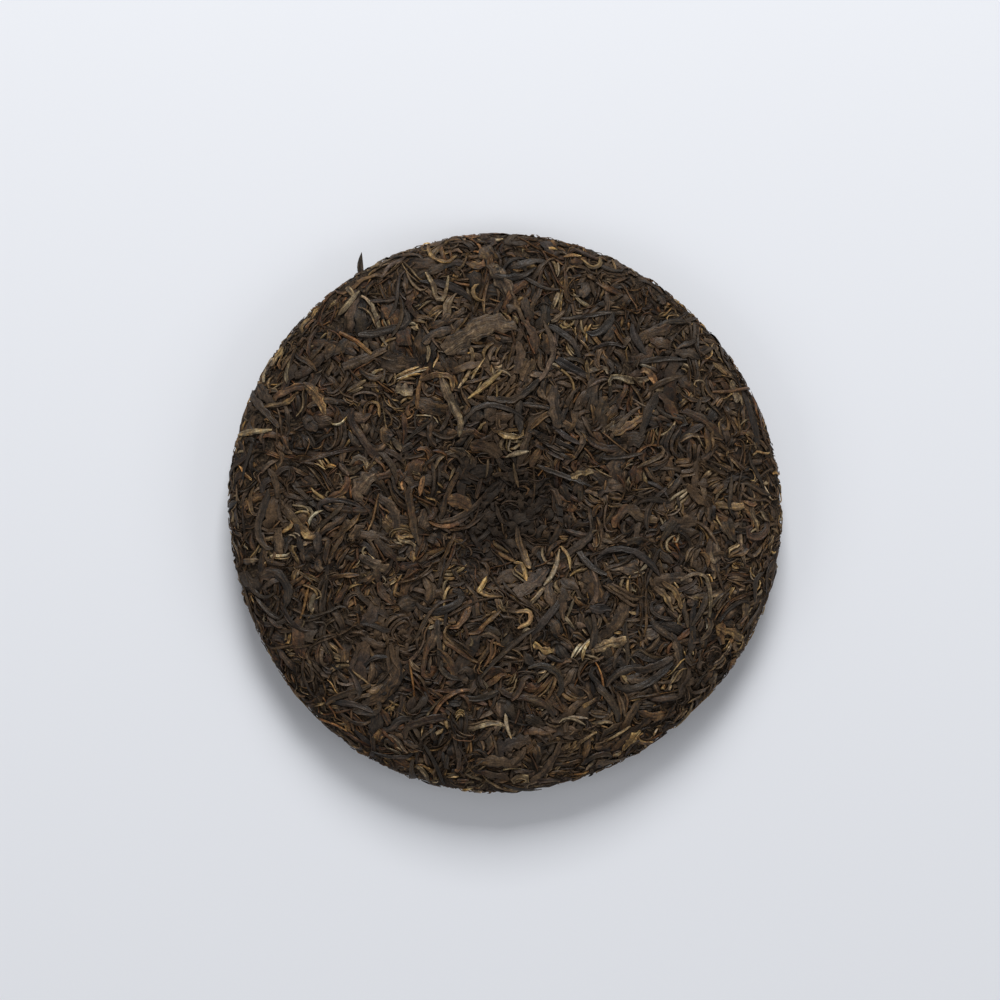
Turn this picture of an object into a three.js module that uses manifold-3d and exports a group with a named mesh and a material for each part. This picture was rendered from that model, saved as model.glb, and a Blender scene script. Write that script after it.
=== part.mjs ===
// A pressed disc of pu erh tea, in millimetres, +Z up. It lies on its domed face, with the face that has the hollow
// left by the knot of the pressing cloth turned up. The origin is the middle of the flat spot that it rests on.
// It is one solid: a packed core with the largest leaves fused half sunk into it, each at its true size.

import * as THREE from "three";
import { mergeVertices } from "three/addons/utils/BufferGeometryUtils.js";
import Module from "manifold-3d";

// Driving sizes of the disc
const CAKE_DIAMETER = 200;
const CAKE_THICKNESS = 24;
const CAKE_RADIUS = CAKE_DIAMETER / 2;
const WIDEST_LINE_HEIGHT = 0.47 * CAKE_THICKNESS;
const REST_SPOT_RADIUS = 0.46 * CAKE_RADIUS;
const SHOULDER_WIDTH = 0.17 * CAKE_RADIUS;
const FACE_CROWN = 1.8;
const HOLLOW_RADIUS = 0.27 * CAKE_RADIUS;
const HOLLOW_DEPTH = 9;

// Exponents of the rounded outlines: 2 is an ellipse, more is squarer
const SHOULDER_ROUNDNESS = 2.1;
const DOME_ROUNDNESS = 2.3;
const HOLLOW_STEEPNESS = 3;

// The outline's slow swells: how many to a turn, how far, and where the first one is
const OUTLINE_SWELLS = [
  { count: 2, rise: 0.5, angle: 1.75 },
  { count: 3, rise: 0.8, angle: 0.1 },
  { count: 4, rise: 0.45, angle: -0.2 },
];

// The packed core between the leaves
const CORE_TURNS = 56;
const CORE_DEPTH = 0.6;
const LUMP_RISE = 0.35;
const LUMP_LENGTH = 13;
const CORE_BANDS = [
  { rings: 6, reach: 0.36 },
  { rings: 5, reach: 0.86 },
  { rings: 7, reach: 1.18 },
  { rings: 4, reach: Infinity },
];

// The fused leaves
const SHOWN_LEAVES = 104;
const RESTING_LEAVES = 22;
const LEAF_LENGTH = { least: 12, most: 29 };
const LEAF_WIDTH = { least: 2.8, most: 6.4 };
const LEAF_STEPS = 4;
const LEAF_SIDES = 3;
const RIDGE_HEIGHT = { least: 0.2, most: 0.7 };
const LEAF_SINK = 1.2;
const LEAF_BEND = 2.2;
const TIP_WIDTH_SHARE = 0.3;
// Steps of the two-dimensional golden ratio, which spread any number of places evenly
const EVEN_STEP_OUT = 0.7548776662;
const EVEN_STEP_ROUND = 0.569840291;
const LEAF_SEED = 20;

// One leaf tip stands out of the rim
const LOOSE_TIP = { x: -51.6, y: 84, reach: 9.6, width: 2.1, thickness: 1, height: 12.5, curl: 0.9 };

// A repeatable run of numbers from 0 to 1
function seededNumbers(seed) {
  let state = seed;
  return () => {
    state = (state * 1664525 + 1013904223) % 4294967296;
    return state / 4294967296;
  };
}

const between = (range, share) => range.least + (range.most - range.least) * share;

// Height of the shown face, and of the resting face, at a distance from the axis
function shownHeight(radius) {
  const rise = CAKE_THICKNESS - WIDEST_LINE_HEIGHT - FACE_CROWN;
  const out = Math.max(0, (radius - (CAKE_RADIUS - SHOULDER_WIDTH)) / SHOULDER_WIDTH);
  const shoulder = (1 - Math.min(1, out) ** SHOULDER_ROUNDNESS) ** (1 / SHOULDER_ROUNDNESS);
  const crown = 1 - (radius / CAKE_RADIUS) ** 2;
  const hollow = Math.exp(-((radius / HOLLOW_RADIUS) ** HOLLOW_STEEPNESS));
  return WIDEST_LINE_HEIGHT + rise * shoulder + FACE_CROWN * crown - HOLLOW_DEPTH * hollow;
}

function restingHeight(radius) {
  const out = Math.max(0, (radius - REST_SPOT_RADIUS) / (CAKE_RADIUS - REST_SPOT_RADIUS));
  const dome = (1 - Math.min(1, out) ** DOME_ROUNDNESS) ** (1 / DOME_ROUNDNESS);
  return WIDEST_LINE_HEIGHT * (1 - dome);
}

// The outline from the middle of the shown face over the rim to the middle of the resting face, with the distance
// walked along it. Equal steps of an angle crowd the points at the rim, where it turns most.
function walkOutline(steps) {
  const places = [];
  for (let i = 0; i <= steps; i++) {
    const radius = CAKE_RADIUS * Math.sin((i / steps) * (Math.PI / 2));
    places.push(new THREE.Vector2(radius, shownHeight(radius)));
  }
  for (let i = steps - 1; i >= 0; i--) {
    const radius = CAKE_RADIUS * Math.sin((i / steps) * (Math.PI / 2));
    places.push(new THREE.Vector2(radius, restingHeight(radius)));
  }
  let walked = 0;
  return places.map((place, i) => {
    if (i > 0) walked += place.distanceTo(places[i - 1]);
    return { place, walked };
  });
}

const OUTLINE = walkOutline(400);
const OUTLINE_LENGTH = OUTLINE.at(-1).walked;

// The outline's point and outward direction at a distance walked along it
function outlineAt(distance) {
  const walked = THREE.MathUtils.clamp(distance, 0, OUTLINE_LENGTH);
  let low = 0;
  let high = OUTLINE.length - 1;
  while (high - low > 1) {
    const middle = (low + high) >> 1;
    if (OUTLINE[middle].walked <= walked) low = middle;
    else high = middle;
  }
  const start = OUTLINE[low];
  const end = OUTLINE[high];
  const share = (walked - start.walked) / (end.walked - start.walked);
  const along = end.place.clone().sub(start.place).normalize();
  return {
    radius: THREE.MathUtils.lerp(start.place.x, end.place.x, share),
    height: THREE.MathUtils.lerp(start.place.y, end.place.y, share),
    out: new THREE.Vector2(-along.y, along.x),
  };
}

function outlineSwell(angle) {
  let rise = 0;
  for (const swell of OUTLINE_SWELLS) rise += swell.rise * Math.cos(swell.count * (angle - swell.angle));
  return rise;
}

// A point of the skin, lifted off it by a height. The skin is flattened like a map: x and y are measured along it
// from the middle of the shown face, or from the middle of the resting face.
function onSkin(x, y, lift, resting = false) {
  const walked = Math.hypot(x, y);
  const angle = Math.atan2(y, x);
  const { radius, height, out } = outlineAt(resting ? OUTLINE_LENGTH - walked : walked);
  const swollen = radius + outlineSwell(angle) * (radius / CAKE_RADIUS) ** 3;
  const outwards = swollen + out.x * lift;
  return new THREE.Vector3(outwards * Math.cos(angle), outwards * Math.sin(angle), height + out.y * lift);
}

// The rise of the core's soft lumps at a place on the map
function lumpRise(x, y) {
  const turn = (2 * Math.PI) / LUMP_LENGTH;
  return (LUMP_RISE * (Math.sin(x * turn) + Math.sin((y + 0.6 * x) * turn * 0.8) * Math.cos((x - y) * turn * 0.7))) / 2;
}

// How far along the outline each ring of the core lies: close together in the hollow and round the rim
function ringDistances() {
  const distances = [0];
  let from = 0;
  for (const band of CORE_BANDS) {
    const to = Math.min(band.reach * CAKE_RADIUS, OUTLINE_LENGTH);
    for (let i = 1; i <= band.rings; i++) distances.push(from + ((to - from) * i) / band.rings);
    from = to;
  }
  return distances;
}

function packedCore() {
  const distances = ringDistances();
  const rings = distances.length - 1;
  const geometry = new THREE.SphereGeometry(1, CORE_TURNS, rings);
  const points = geometry.attributes.position;
  const restSpotStart = OUTLINE_LENGTH - REST_SPOT_RADIUS;
  for (let i = 0; i < points.count; i++) {
    const ring = Math.round((Math.acos(THREE.MathUtils.clamp(points.getY(i), -1, 1)) / Math.PI) * rings);
    const angle = Math.atan2(-points.getZ(i), points.getX(i));
    const walked = distances[ring];
    const x = walked * Math.cos(angle);
    const y = walked * Math.sin(angle);
    const rests = THREE.MathUtils.smoothstep(walked, restSpotStart - 12, restSpotStart - 1);
    const rise = (lumpRise(x, y) - CORE_DEPTH) * (1 - rests);
    const place = onSkin(x, y, walked === 0 ? -CORE_DEPTH : rise);
    points.setXYZ(i, place.x, place.y, place.z);
  }
  return geometry;
}

// One leaf: a ridged strip that curves over the map of the skin, tapers to both ends and is sunk half into the core
function pressedLeaf(leaf) {
  const geometry = new THREE.CylinderGeometry(1, 1, 1, LEAF_SIDES, LEAF_STEPS);
  const points = geometry.attributes.position;
  for (let i = 0; i < points.count; i++) {
    const along = points.getY(i) + 0.5;
    const share = 2 * along - 1;
    const heading = leaf.heading + leaf.bend * share;
    const turned = leaf.bend === 0 ? share / 2 : Math.sin(leaf.bend * share) / (2 * leaf.bend);
    const swung = leaf.bend === 0 ? 0 : (1 - Math.cos(leaf.bend * share)) / (2 * leaf.bend);
    const x = leaf.x + leaf.length * (turned * Math.cos(leaf.heading) - swung * Math.sin(leaf.heading));
    const y = leaf.y + leaf.length * (turned * Math.sin(leaf.heading) + swung * Math.cos(leaf.heading));
    const full = TIP_WIDTH_SHARE + (1 - TIP_WIDTH_SHARE) * Math.sqrt(1 - share ** 4);
    const onAxis = Math.hypot(points.getX(i), points.getZ(i)) < 0.5;
    const across = onAxis ? 0 : (points.getX(i) / Math.sin(Math.PI / LEAF_SIDES)) * (leaf.width / 2) * full;
    const ridge = !onAxis && points.getZ(i) > 0.5;
    const lift = ridge ? leaf.ridge * full : -LEAF_SINK;
    const place = onSkin(x - across * Math.sin(heading), y + across * Math.cos(heading), lift, leaf.resting);
    points.setXYZ(i, place.x, place.y, place.z);
  }
  return geometry;
}

// Leaves spread evenly over one face and its half of the rim, the largest first
function spreadLeaves(count, resting, random) {
  const innerReach = resting ? REST_SPOT_RADIUS + 10 : 5;
  const outerReach = resting ? CAKE_RADIUS - 2 : CAKE_RADIUS + 14;
  const leaves = [];
  for (let i = 0; i < count; i++) {
    const size = 1 - i / count;
    const reach = Math.sqrt(THREE.MathUtils.lerp(innerReach ** 2, outerReach ** 2, (i * EVEN_STEP_OUT) % 1));
    const angle = 2 * Math.PI * ((i * EVEN_STEP_ROUND) % 1);
    const atRim = THREE.MathUtils.smoothstep(reach, 0.85 * CAKE_RADIUS, 1.1 * CAKE_RADIUS);
    const freeHeading = random() * Math.PI * 2;
    const rimHeading = angle + Math.PI / 2 + (random() - 0.5) * 0.9;
    leaves.push({
      x: reach * Math.cos(angle),
      y: reach * Math.sin(angle),
      heading: atRim > 0.4 || resting ? rimHeading : freeHeading,
      length: between(LEAF_LENGTH, size * (0.6 + 0.4 * random())) * (resting ? 0.9 : 1),
      width: between(LEAF_WIDTH, random()),
      bend: LEAF_BEND * (random() - 0.5) * (resting ? 0.4 : 1),
      ridge: between(RIDGE_HEIGHT, random()),
      resting,
    });
  }
  return leaves;
}

// The tip that stands out of the rim, a thin blade from inside the core to a point
function looseTip() {
  const geometry = new THREE.CylinderGeometry(1, 1, 1, 4, 4);
  const points = geometry.attributes.position;
  for (let i = 0; i < points.count; i++) {
    const along = points.getY(i) + 0.5;
    const full = Math.sqrt(1 - along ** 2) * 0.9 + 0.1;
    const curl = LOOSE_TIP.curl * Math.sin(along * Math.PI);
    points.setXYZ(
      i,
      LOOSE_TIP.x - curl + (points.getX(i) * LOOSE_TIP.width * full) / 2,
      LOOSE_TIP.y + LOOSE_TIP.reach * along,
      LOOSE_TIP.height - (points.getZ(i) * LOOSE_TIP.thickness * full) / 2,
    );
  }
  return geometry;
}

const wasm = await Module();
wasm.setup();

// A closed geometry as a solid with its faces pointing out
function solidOf(geometry) {
  geometry.deleteAttribute("normal");
  geometry.deleteAttribute("uv");
  const merged = mergeVertices(geometry, 1e-4);
  const triVerts = new Uint32Array(merged.index.array);
  const vertProperties = new Float32Array(merged.attributes.position.array);
  const solid = new wasm.Manifold(new wasm.Mesh({ numProp: 3, vertProperties, triVerts }));
  if (solid.volume() > 0) return solid;
  for (let i = 0; i < triVerts.length; i += 3) [triVerts[i], triVerts[i + 1]] = [triVerts[i + 1], triVerts[i]];
  return new wasm.Manifold(new wasm.Mesh({ numProp: 3, vertProperties, triVerts }));
}

// The outermost closed surface alone, which drops loose scraps and fills hollows that the leaves seal
function outerBody(solid) {
  return solid.decompose().reduce((best, body) => (body.volume() > best.volume() ? body : best));
}

function geometryOf(solid) {
  const { vertProperties, triVerts } = solid.getMesh();
  const geometry = new THREE.BufferGeometry();
  geometry.setAttribute("position", new THREE.BufferAttribute(vertProperties, 3));
  geometry.setIndex(new THREE.BufferAttribute(triVerts, 1));
  geometry.computeVertexNormals();
  return geometry;
}

function teaCake() {
  const random = seededNumbers(LEAF_SEED);
  let cake = solidOf(packedCore());
  const leaves = [...spreadLeaves(SHOWN_LEAVES, false, random), ...spreadLeaves(RESTING_LEAVES, true, random)];
  for (const leaf of leaves) cake = cake.add(solidOf(pressedLeaf(leaf)));
  cake = cake.add(solidOf(looseTip()));
  const material = new THREE.MeshStandardMaterial({ color: 0x3a2f26, roughness: 0.62, metalness: 0 });
  const mesh = new THREE.Mesh(geometryOf(outerBody(cake)), material);
  mesh.name = "tea_cake";
  return mesh;
}

const model = new THREE.Group();
model.add(teaCake());
export default model;
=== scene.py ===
"""A pressed cake of pu erh tea: rolled leaves, flat leaves, pale tips and stems laid over one another
on a dark packed core, as the pressing cloth leaves them, with the hollow of the cloth's knot turned up."""

import math

import bpy
import numpy as np
from mathutils import Matrix, Vector


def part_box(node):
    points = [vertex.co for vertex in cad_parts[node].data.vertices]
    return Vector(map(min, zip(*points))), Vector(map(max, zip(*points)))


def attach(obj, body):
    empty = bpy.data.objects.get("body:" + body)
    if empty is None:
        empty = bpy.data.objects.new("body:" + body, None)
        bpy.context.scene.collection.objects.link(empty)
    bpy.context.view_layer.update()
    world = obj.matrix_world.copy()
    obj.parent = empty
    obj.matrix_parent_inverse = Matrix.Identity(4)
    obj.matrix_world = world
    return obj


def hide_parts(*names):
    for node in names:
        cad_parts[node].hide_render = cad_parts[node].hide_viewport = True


MM = 0.001
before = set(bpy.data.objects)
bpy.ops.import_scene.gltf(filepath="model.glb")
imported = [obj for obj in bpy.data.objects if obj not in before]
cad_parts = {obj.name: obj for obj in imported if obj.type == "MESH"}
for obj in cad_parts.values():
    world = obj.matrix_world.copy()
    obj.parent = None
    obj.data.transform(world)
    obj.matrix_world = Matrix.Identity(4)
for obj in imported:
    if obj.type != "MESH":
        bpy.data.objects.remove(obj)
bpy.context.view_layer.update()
CAKE_NODE = "tea_cake"
CAKE_BODY = "root"

# Sizes of the cake, in millimetres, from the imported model's box
cake_low, cake_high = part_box(CAKE_NODE)
RIDGE_ALLOWANCE = 0.55
CAKE_RADIUS = (cake_high.x - cake_low.x + cake_high.y - cake_low.y) / 4 / MM
CAKE_THICKNESS = (cake_high.z - cake_low.z) / MM - RIDGE_ALLOWANCE
WIDEST_LINE_HEIGHT = 0.47 * CAKE_THICKNESS
REST_SPOT_RADIUS = 0.46 * CAKE_RADIUS
SHOULDER_WIDTH = 0.17 * CAKE_RADIUS
FACE_CROWN = 1.8
HOLLOW_RADIUS = 0.27 * CAKE_RADIUS
HOLLOW_DEPTH = 9.0
SHOULDER_ROUNDNESS = 2.1
DOME_ROUNDNESS = 2.3
HOLLOW_STEEPNESS = 3.0
# Swells of the outline: how many go round the rim, their height in millimetres and the angle of one crest
OUTLINE_SWELLS = ((2, 0.5, 1.75), (3, 0.8, 0.1), (4, 0.45, -0.2))

# The map of the pile of leaves, in millimetres
CELL = 0.25
SHOWN_REACH = 1.24 * CAKE_RADIUS
RESTING_REACH = 0.96 * CAKE_RADIUS


def shown_height(radius):
    """Height of the shown face at a distance from the axis."""
    rise = CAKE_THICKNESS - WIDEST_LINE_HEIGHT - FACE_CROWN
    out = np.clip((radius - (CAKE_RADIUS - SHOULDER_WIDTH)) / SHOULDER_WIDTH, 0, 1)
    shoulder = (1 - out**SHOULDER_ROUNDNESS) ** (1 / SHOULDER_ROUNDNESS)
    crown = 1 - (radius / CAKE_RADIUS) ** 2
    hollow = np.exp(-((radius / HOLLOW_RADIUS) ** HOLLOW_STEEPNESS))
    return WIDEST_LINE_HEIGHT + rise * shoulder + FACE_CROWN * crown - HOLLOW_DEPTH * hollow


def resting_height(radius):
    """Height of the resting face at a distance from the axis."""
    out = np.clip((radius - REST_SPOT_RADIUS) / (CAKE_RADIUS - REST_SPOT_RADIUS), 0, 1)
    return WIDEST_LINE_HEIGHT * (1 - (1 - out**DOME_ROUNDNESS) ** (1 / DOME_ROUNDNESS))


class Skin:
    """The cake's outer surface. Places on it are x and y on a map, measured along the surface from the
    middle of the shown face or of the resting face."""

    def __init__(self, steps=900):
        out = CAKE_RADIUS * np.sin(np.linspace(0, math.pi / 2, steps))
        self.radius = np.concatenate([out, out[-2::-1]])
        self.height = np.concatenate([shown_height(out), resting_height(out[-2::-1])])
        gaps = np.hypot(np.diff(self.radius), np.diff(self.height))
        self.walked = np.concatenate([[0], np.cumsum(gaps)])
        self.length = self.walked[-1]
        lean = np.gradient(self.radius, self.walked), np.gradient(self.height, self.walked)
        self.out_radius, self.out_height = -lean[1], lean[0]

    def place(self, x, y, lift, resting=False):
        """Points in space for map places lifted off the skin, and the outward directions there."""
        reach = np.hypot(x, y)
        angle = np.arctan2(y, x)
        walked = self.length - reach if resting else reach
        radius, height, out_radius, out_height = (
            np.interp(walked, self.walked, values)
            for values in (self.radius, self.height, self.out_radius, self.out_height)
        )
        swell = sum(rise * np.cos(count * (angle - start)) for count, rise, start in OUTLINE_SWELLS)
        far = radius + swell * (radius / CAKE_RADIUS) ** 3 + out_radius * lift
        points = np.stack([far * np.cos(angle), far * np.sin(angle), height + out_height * lift], -1)
        outward = np.stack([out_radius * np.cos(angle), out_radius * np.sin(angle), out_height], -1)
        return points, outward

    def on_map(self, x, y):
        """The map place on the shown face of what lies at x, y seen from above."""
        reach = math.hypot(x, y)
        shown = len(self.radius) // 2 + 1
        walked = float(np.interp(reach, self.radius[:shown], self.walked[:shown]))
        return x * walked / reach, y * walked / reach


SKIN = Skin()


def smooth_share(value, low, high):
    """0 below low, 1 above high and a smooth rise between."""
    share = np.clip((value - low) / (high - low), 0, 1)
    return share * share * (3 - 2 * share)


LATTICES = {}


def hills(x, y, spacing, seed):
    """A smooth random field from 0 to 1 whose hills are a spacing apart."""
    size = 256
    if seed not in LATTICES:
        LATTICES[seed] = np.random.default_rng(seed).random((size, size))
    lattice = LATTICES[seed]
    east, north = np.asarray(x) / spacing + size / 2, np.asarray(y) / spacing + size / 2
    column, row = np.floor(east).astype(int), np.floor(north).astype(int)
    across, up = smooth_share(east - column, 0, 1), smooth_share(north - row, 0, 1)
    column, row = column % size, row % size
    next_column, next_row = (column + 1) % size, (row + 1) % size
    south = lattice[row, column] * (1 - across) + lattice[row, next_column] * across
    northern = lattice[next_row, column] * (1 - across) + lattice[next_row, next_column] * across
    return south * (1 - up) + northern * up


# Leaf kinds. Sizes are in millimetres, turns in radians. Bend is how much a leaf turns along its length,
# hook how often one end curls up, blunt how wide its ends stay and rough how uneven its edges are. Step is
# how far apart the points of its path are, palest its tone's upper limit and creasing how deep creases are.
KIND_VALUES = ("length", "width", "thick", "bend", "hook", "blunt", "rough")
KIND_VALUES += ("step", "palest", "creasing", "section")
KIND_TABLE = {
    "dark": ((14, 28), (1.6, 3.2), (0.35, 0.5), 1.0, 0.15, (0.1, 0.5), 0.25, 2.2, 0.36, 3.0, "creased"),
    "rolled": ((5, 24), (0.8, 2.7), (0.3, 0.5), 1.15, 0.32, (0.15, 0.6), 0.28, 1.7, 1.0, 3.2, "creased"),
    "folded": ((6, 22), (1.6, 4.2), (0.28, 0.45), 0.95, 0.15, (0.15, 0.7), 0.36, 1.6, 0.86, 2.4, "folded"),
    "blade": ((8, 25), (3.0, 6.5), (0.22, 0.36), 0.6, 0.05, (0.15, 0.7), 0.42, 1.6, 0.78, 3.0, "flat"),
    "flake": ((2.5, 7), (1.4, 4.0), (0.2, 0.34), 0.5, 0.0, (0.35, 0.9), 0.58, 0.9, 0.9, 2.4, "broken"),
    "tip": ((4, 13), (0.8, 1.7), (0.4, 0.6), 1.3, 0.38, (0.1, 0.4), 0.1, 1.4, 1.0, 1.8, "round"),
    "stem": ((6, 20), (0.6, 1.2), (0.6, 0.8), 0.35, 0.05, (0.7, 0.95), 0.06, 2.2, 1.0, 0.6, "round"),
    "thread": ((3, 12), (0.4, 0.9), (0.25, 0.4), 1.9, 0.42, (0.3, 0.6), 0.1, 1.3, 1.0, 1.0, "thin"),
}
KINDS = {kind: dict(zip(KIND_VALUES, values)) for kind, values in KIND_TABLE.items()}
RESTING_STEP_SHARE = 1.5

# How often each kind is picked: for the uppermost leaves, those at the top, most leaves, the bits in the
# gaps, and in place of other kinds at the rim and in the hollow. Last, how many strands a shoot has.
UPPERMOST_PICKS = dict(dark=0.8, blade=0.2)
TOP_PICKS = dict(rolled=0.38, folded=0.1, blade=0.02, flake=0.04, tip=0.13, stem=0.06, thread=0.27)
PICKS = dict(rolled=0.42, folded=0.25, blade=0.09, flake=0.06, tip=0.05, stem=0.03, thread=0.10)
FILLERS = dict(rolled=0.3, folded=0.05, flake=0.33, tip=0.04, stem=0.02, thread=0.26)
RIM_PICKS = dict(rolled=0.4, tip=0.3, thread=0.3)
HOLLOW_PICKS = dict(flake=0.45, thread=0.3, folded=0.17, tip=0.08)
STRAND_PICKS = {1: 0.4, 2: 0.27, 3: 0.18, 4: 0.1, 5: 0.05}

# How leaves are laid, with lengths in millimetres
SAMPLE = 0.19
OVERLAP_SHARE = 0.6
STEEPEST_DIVE = 0.5
STEEPEST_LEAN = 0.55
MOST_STEPS = 11
DEEPEST = 2.6
ENDS_FROM = 0.35
COVERED_TUCK = 0.35
FIRST_LOOK_REACH = 0.6
FIRST_LOOK_SHARE = 0.8
RIM_FROM = 0.9 * CAKE_RADIUS
CELLS_AT_ONCE = 600
TRIES_A_LOOK = 100


class Pile:
    """Leaves pressed against the cloth. The first laid touch the cloth, and each later one dives under
    those that are there already, so that the face comes out level and leaves overlap."""

    def __init__(self, reach, resting, seed):
        self.reach, self.resting = reach, resting
        self.size = int(2 * reach / CELL) + 1
        places = np.linspace(-reach, reach, self.size)
        across, up = np.meshgrid(places, places)
        distance = np.hypot(across, up)
        self.inside = distance < reach
        self.at_rim = distance > RIM_FROM
        self.taken = ~self.inside
        self.under = 0.25 * hills(across, up, 6, seed + 40)
        if resting:
            self.under += 0.9 * smooth_share(distance, 0.9 * reach, reach)
        else:
            near_rim = smooth_share(distance, 0.8 * CAKE_RADIUS, CAKE_RADIUS)
            self.under += 0.5 * near_rim * hills(across, up, 3, seed + 41)
        self.leaves = []
        self.random = np.random.default_rng(seed)

    def cells(self, x, y):
        """The rows and columns of the map's cells at places."""
        column = np.clip(((x + self.reach) / CELL + 0.5).astype(int), 0, self.size - 1)
        row = np.clip(((y + self.reach) / CELL + 0.5).astype(int), 0, self.size - 1)
        return row, column

    def covered(self):
        """The share of the face that leaves cover."""
        return self.taken[self.inside].mean()

    def lay(self, kind, x, y, turn, length, width, thick, tone, least_seen, sink, twist, tucks=(0, 0)):
        """Adds one leaf along the map points x, y if enough of it would be seen. The ends dive by their
        tucks, and what is laid later may cover them."""
        random = self.random
        rule = KINDS[kind]
        steps = len(x) - 1
        along = np.linspace(-1, 1, steps + 1)
        half = width / 2 * outline_share(along, random, rule["blunt"])
        left = half * (1 + rule["rough"] * random.uniform(-1, 0.8, steps + 1))
        right = half * (1 + rule["rough"] * random.uniform(-1, 0.8, steps + 1))
        side_x, side_y = -np.sin(turn), np.cos(turn)
        looked_at = (
            np.stack([middle - out, middle, middle + out])
            for middle, out in ((x, side_x * half * FIRST_LOOK_REACH), (y, side_y * half * FIRST_LOOK_REACH))
        )
        if 1 - self.taken[self.cells(*looked_at)].mean() < FIRST_LOOK_SHARE * least_seen:
            return
        fine = max(2, math.ceil(length / steps / SAMPLE))
        at = np.linspace(0, steps, steps * fine + 1)
        low = np.minimum(at.astype(int), steps - 1)
        share = (at - low)[:, None]
        columns = max(5, int(width / SAMPLE) + 1)
        across = np.linspace(-0.95, 0.95, columns)[None, :]

        def spread(values):
            return values[low][:, None] * (1 - share) + values[low + 1][:, None] * share

        reach = np.where(across > 0, spread(left), spread(right)) * across
        place = self.cells(spread(x) + reach * spread(side_x), spread(y) + reach * spread(side_y))
        if 1 - self.taken[place].mean() < least_seen:
            return
        above = self.under[place]
        third = max(1, columns // 3)
        lanes = (above[:, third : columns - third], above[:, -third:], above[:, :third])
        depth, left_depth, right_depth = (widest_by_step(lane.max(1), fine) + sink for lane in lanes)
        dive = STEEPEST_DIVE * length / steps
        for _ in range(steps):
            depth[1:] = np.maximum(depth[1:], depth[:-1] - dive)
            depth[:-1] = np.maximum(depth[:-1], depth[1:] - dive)
        lean = STEEPEST_LEAN * half + 0.05
        depth = np.maximum(depth, np.maximum(left_depth, right_depth) - lean)
        roll = twist * half * np.sin(along * random.uniform(1, 3) + random.uniform(0, 6))
        left_lean = np.clip(depth - left_depth, -lean, lean) + roll
        right_lean = np.clip(depth - right_depth, -lean, lean) - roll
        thick = thick * (0.45 + 0.55 * half / half.max())
        lowest = spread(depth) + spread(thick) * OVERLAP_SHARE * (1.25 - 0.5 * across**2)
        lowest -= np.where(across > 0, spread(left_lean), spread(right_lean)) * np.abs(across)
        start, end = at_ends(along)
        tuck = tucks[0] * start + tucks[1] * end
        open_rows = spread(tuck)[:, 0] < COVERED_TUCK
        open_place = place[0][open_rows], place[1][open_rows]
        self.under[open_place] = np.minimum(np.maximum(above, lowest), DEEPEST)[open_rows]
        self.taken[open_place] = True
        leaf = dict(kind=kind, x=x, y=y, side_x=side_x, side_y=side_y, half=half, left=left, right=right)
        leaf |= dict(lean_left=left_lean, lean_right=right_lean, depth=depth + tuck, thick=thick)
        self.leaves.append(leaf | dict(along=along, length=length, tone=tone, resting=self.resting))

    def free_place(self, at_rim):
        """A place that no leaf covers yet, of the whole face or of its rim alone."""
        if not self.open_cells:
            open_cells = ~self.taken & self.at_rim if at_rim else ~self.taken
            self.open_cells = self.random.permutation(np.argwhere(open_cells))[:CELLS_AT_ONCE].tolist()
        row, column = self.open_cells.pop()
        return column * CELL - self.reach, row * CELL - self.reach

    def fill(self, picks, least_covered, least_seen, tries, at_rim=False):
        """Lays shoots until the share of the face that is covered, or the number of tries, is reached."""
        self.open_cells = []
        for number in range(tries):
            if number % TRIES_A_LOOK == 0 and self.covered() > least_covered:
                return
            lay_shoot(self, *self.free_place(at_rim), picks, least_seen)


def at_ends(along):
    """How near each step is to the leaf's start and to its end, from 0 over its middle to 1."""
    return smooth_share(-along, ENDS_FROM, 1), smooth_share(along, ENDS_FROM, 1)


def widest_by_step(values, fine):
    """The largest value near each step, from values that are sampled a number of times as finely."""
    reach = max(1, int(0.8 * fine))
    padded = np.concatenate([np.repeat(values[:1], reach), values, np.repeat(values[-1:], reach)])
    return np.lib.stride_tricks.sliding_window_view(padded, 2 * reach + 1)[::fine].max(1)


def outline_share(along, random, blunt):
    """How wide a leaf is at each step, as a share of its widest."""
    belly = random.uniform(-0.4, 0.4)
    off = along - belly
    off = np.abs(np.where(off > 0, off / (1 - belly), off / (1 + belly)))
    ends = np.where(along > belly, random.uniform(*blunt), random.uniform(*blunt))
    return ends + (1 - ends) * np.clip(1 - off ** random.uniform(1.6, 3.5), 0, 1) ** 0.75


def curved_path(x, y, heading, length, steps, bend, sway, hooks):
    """Map points and headings of a path whose middle is at x, y."""
    along = np.linspace(-1, 1, steps + 1)
    turn = heading + bend * along / 2 + sway * (along**2 - 0.4)
    near_start, near_end = at_ends(along)
    turn = turn + hooks[1] * near_end - hooks[0] * near_start
    middle = (turn[1:] + turn[:-1]) / 2
    path_x = np.concatenate([[0], np.cumsum(np.cos(middle))]) * length / steps
    path_y = np.concatenate([[0], np.cumsum(np.sin(middle))]) * length / steps
    return path_x + x - path_x.mean(), path_y + y - path_y.mean(), turn


def skewed(random, limits, power):
    """A value between the limits, more often near the lower one."""
    return limits[0] + (limits[1] - limits[0]) * random.random() ** power


def pick(random, odds):
    """One of the keys of the odds, each as often as its value says."""
    return random.choice(list(odds), p=list(odds.values()))


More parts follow.
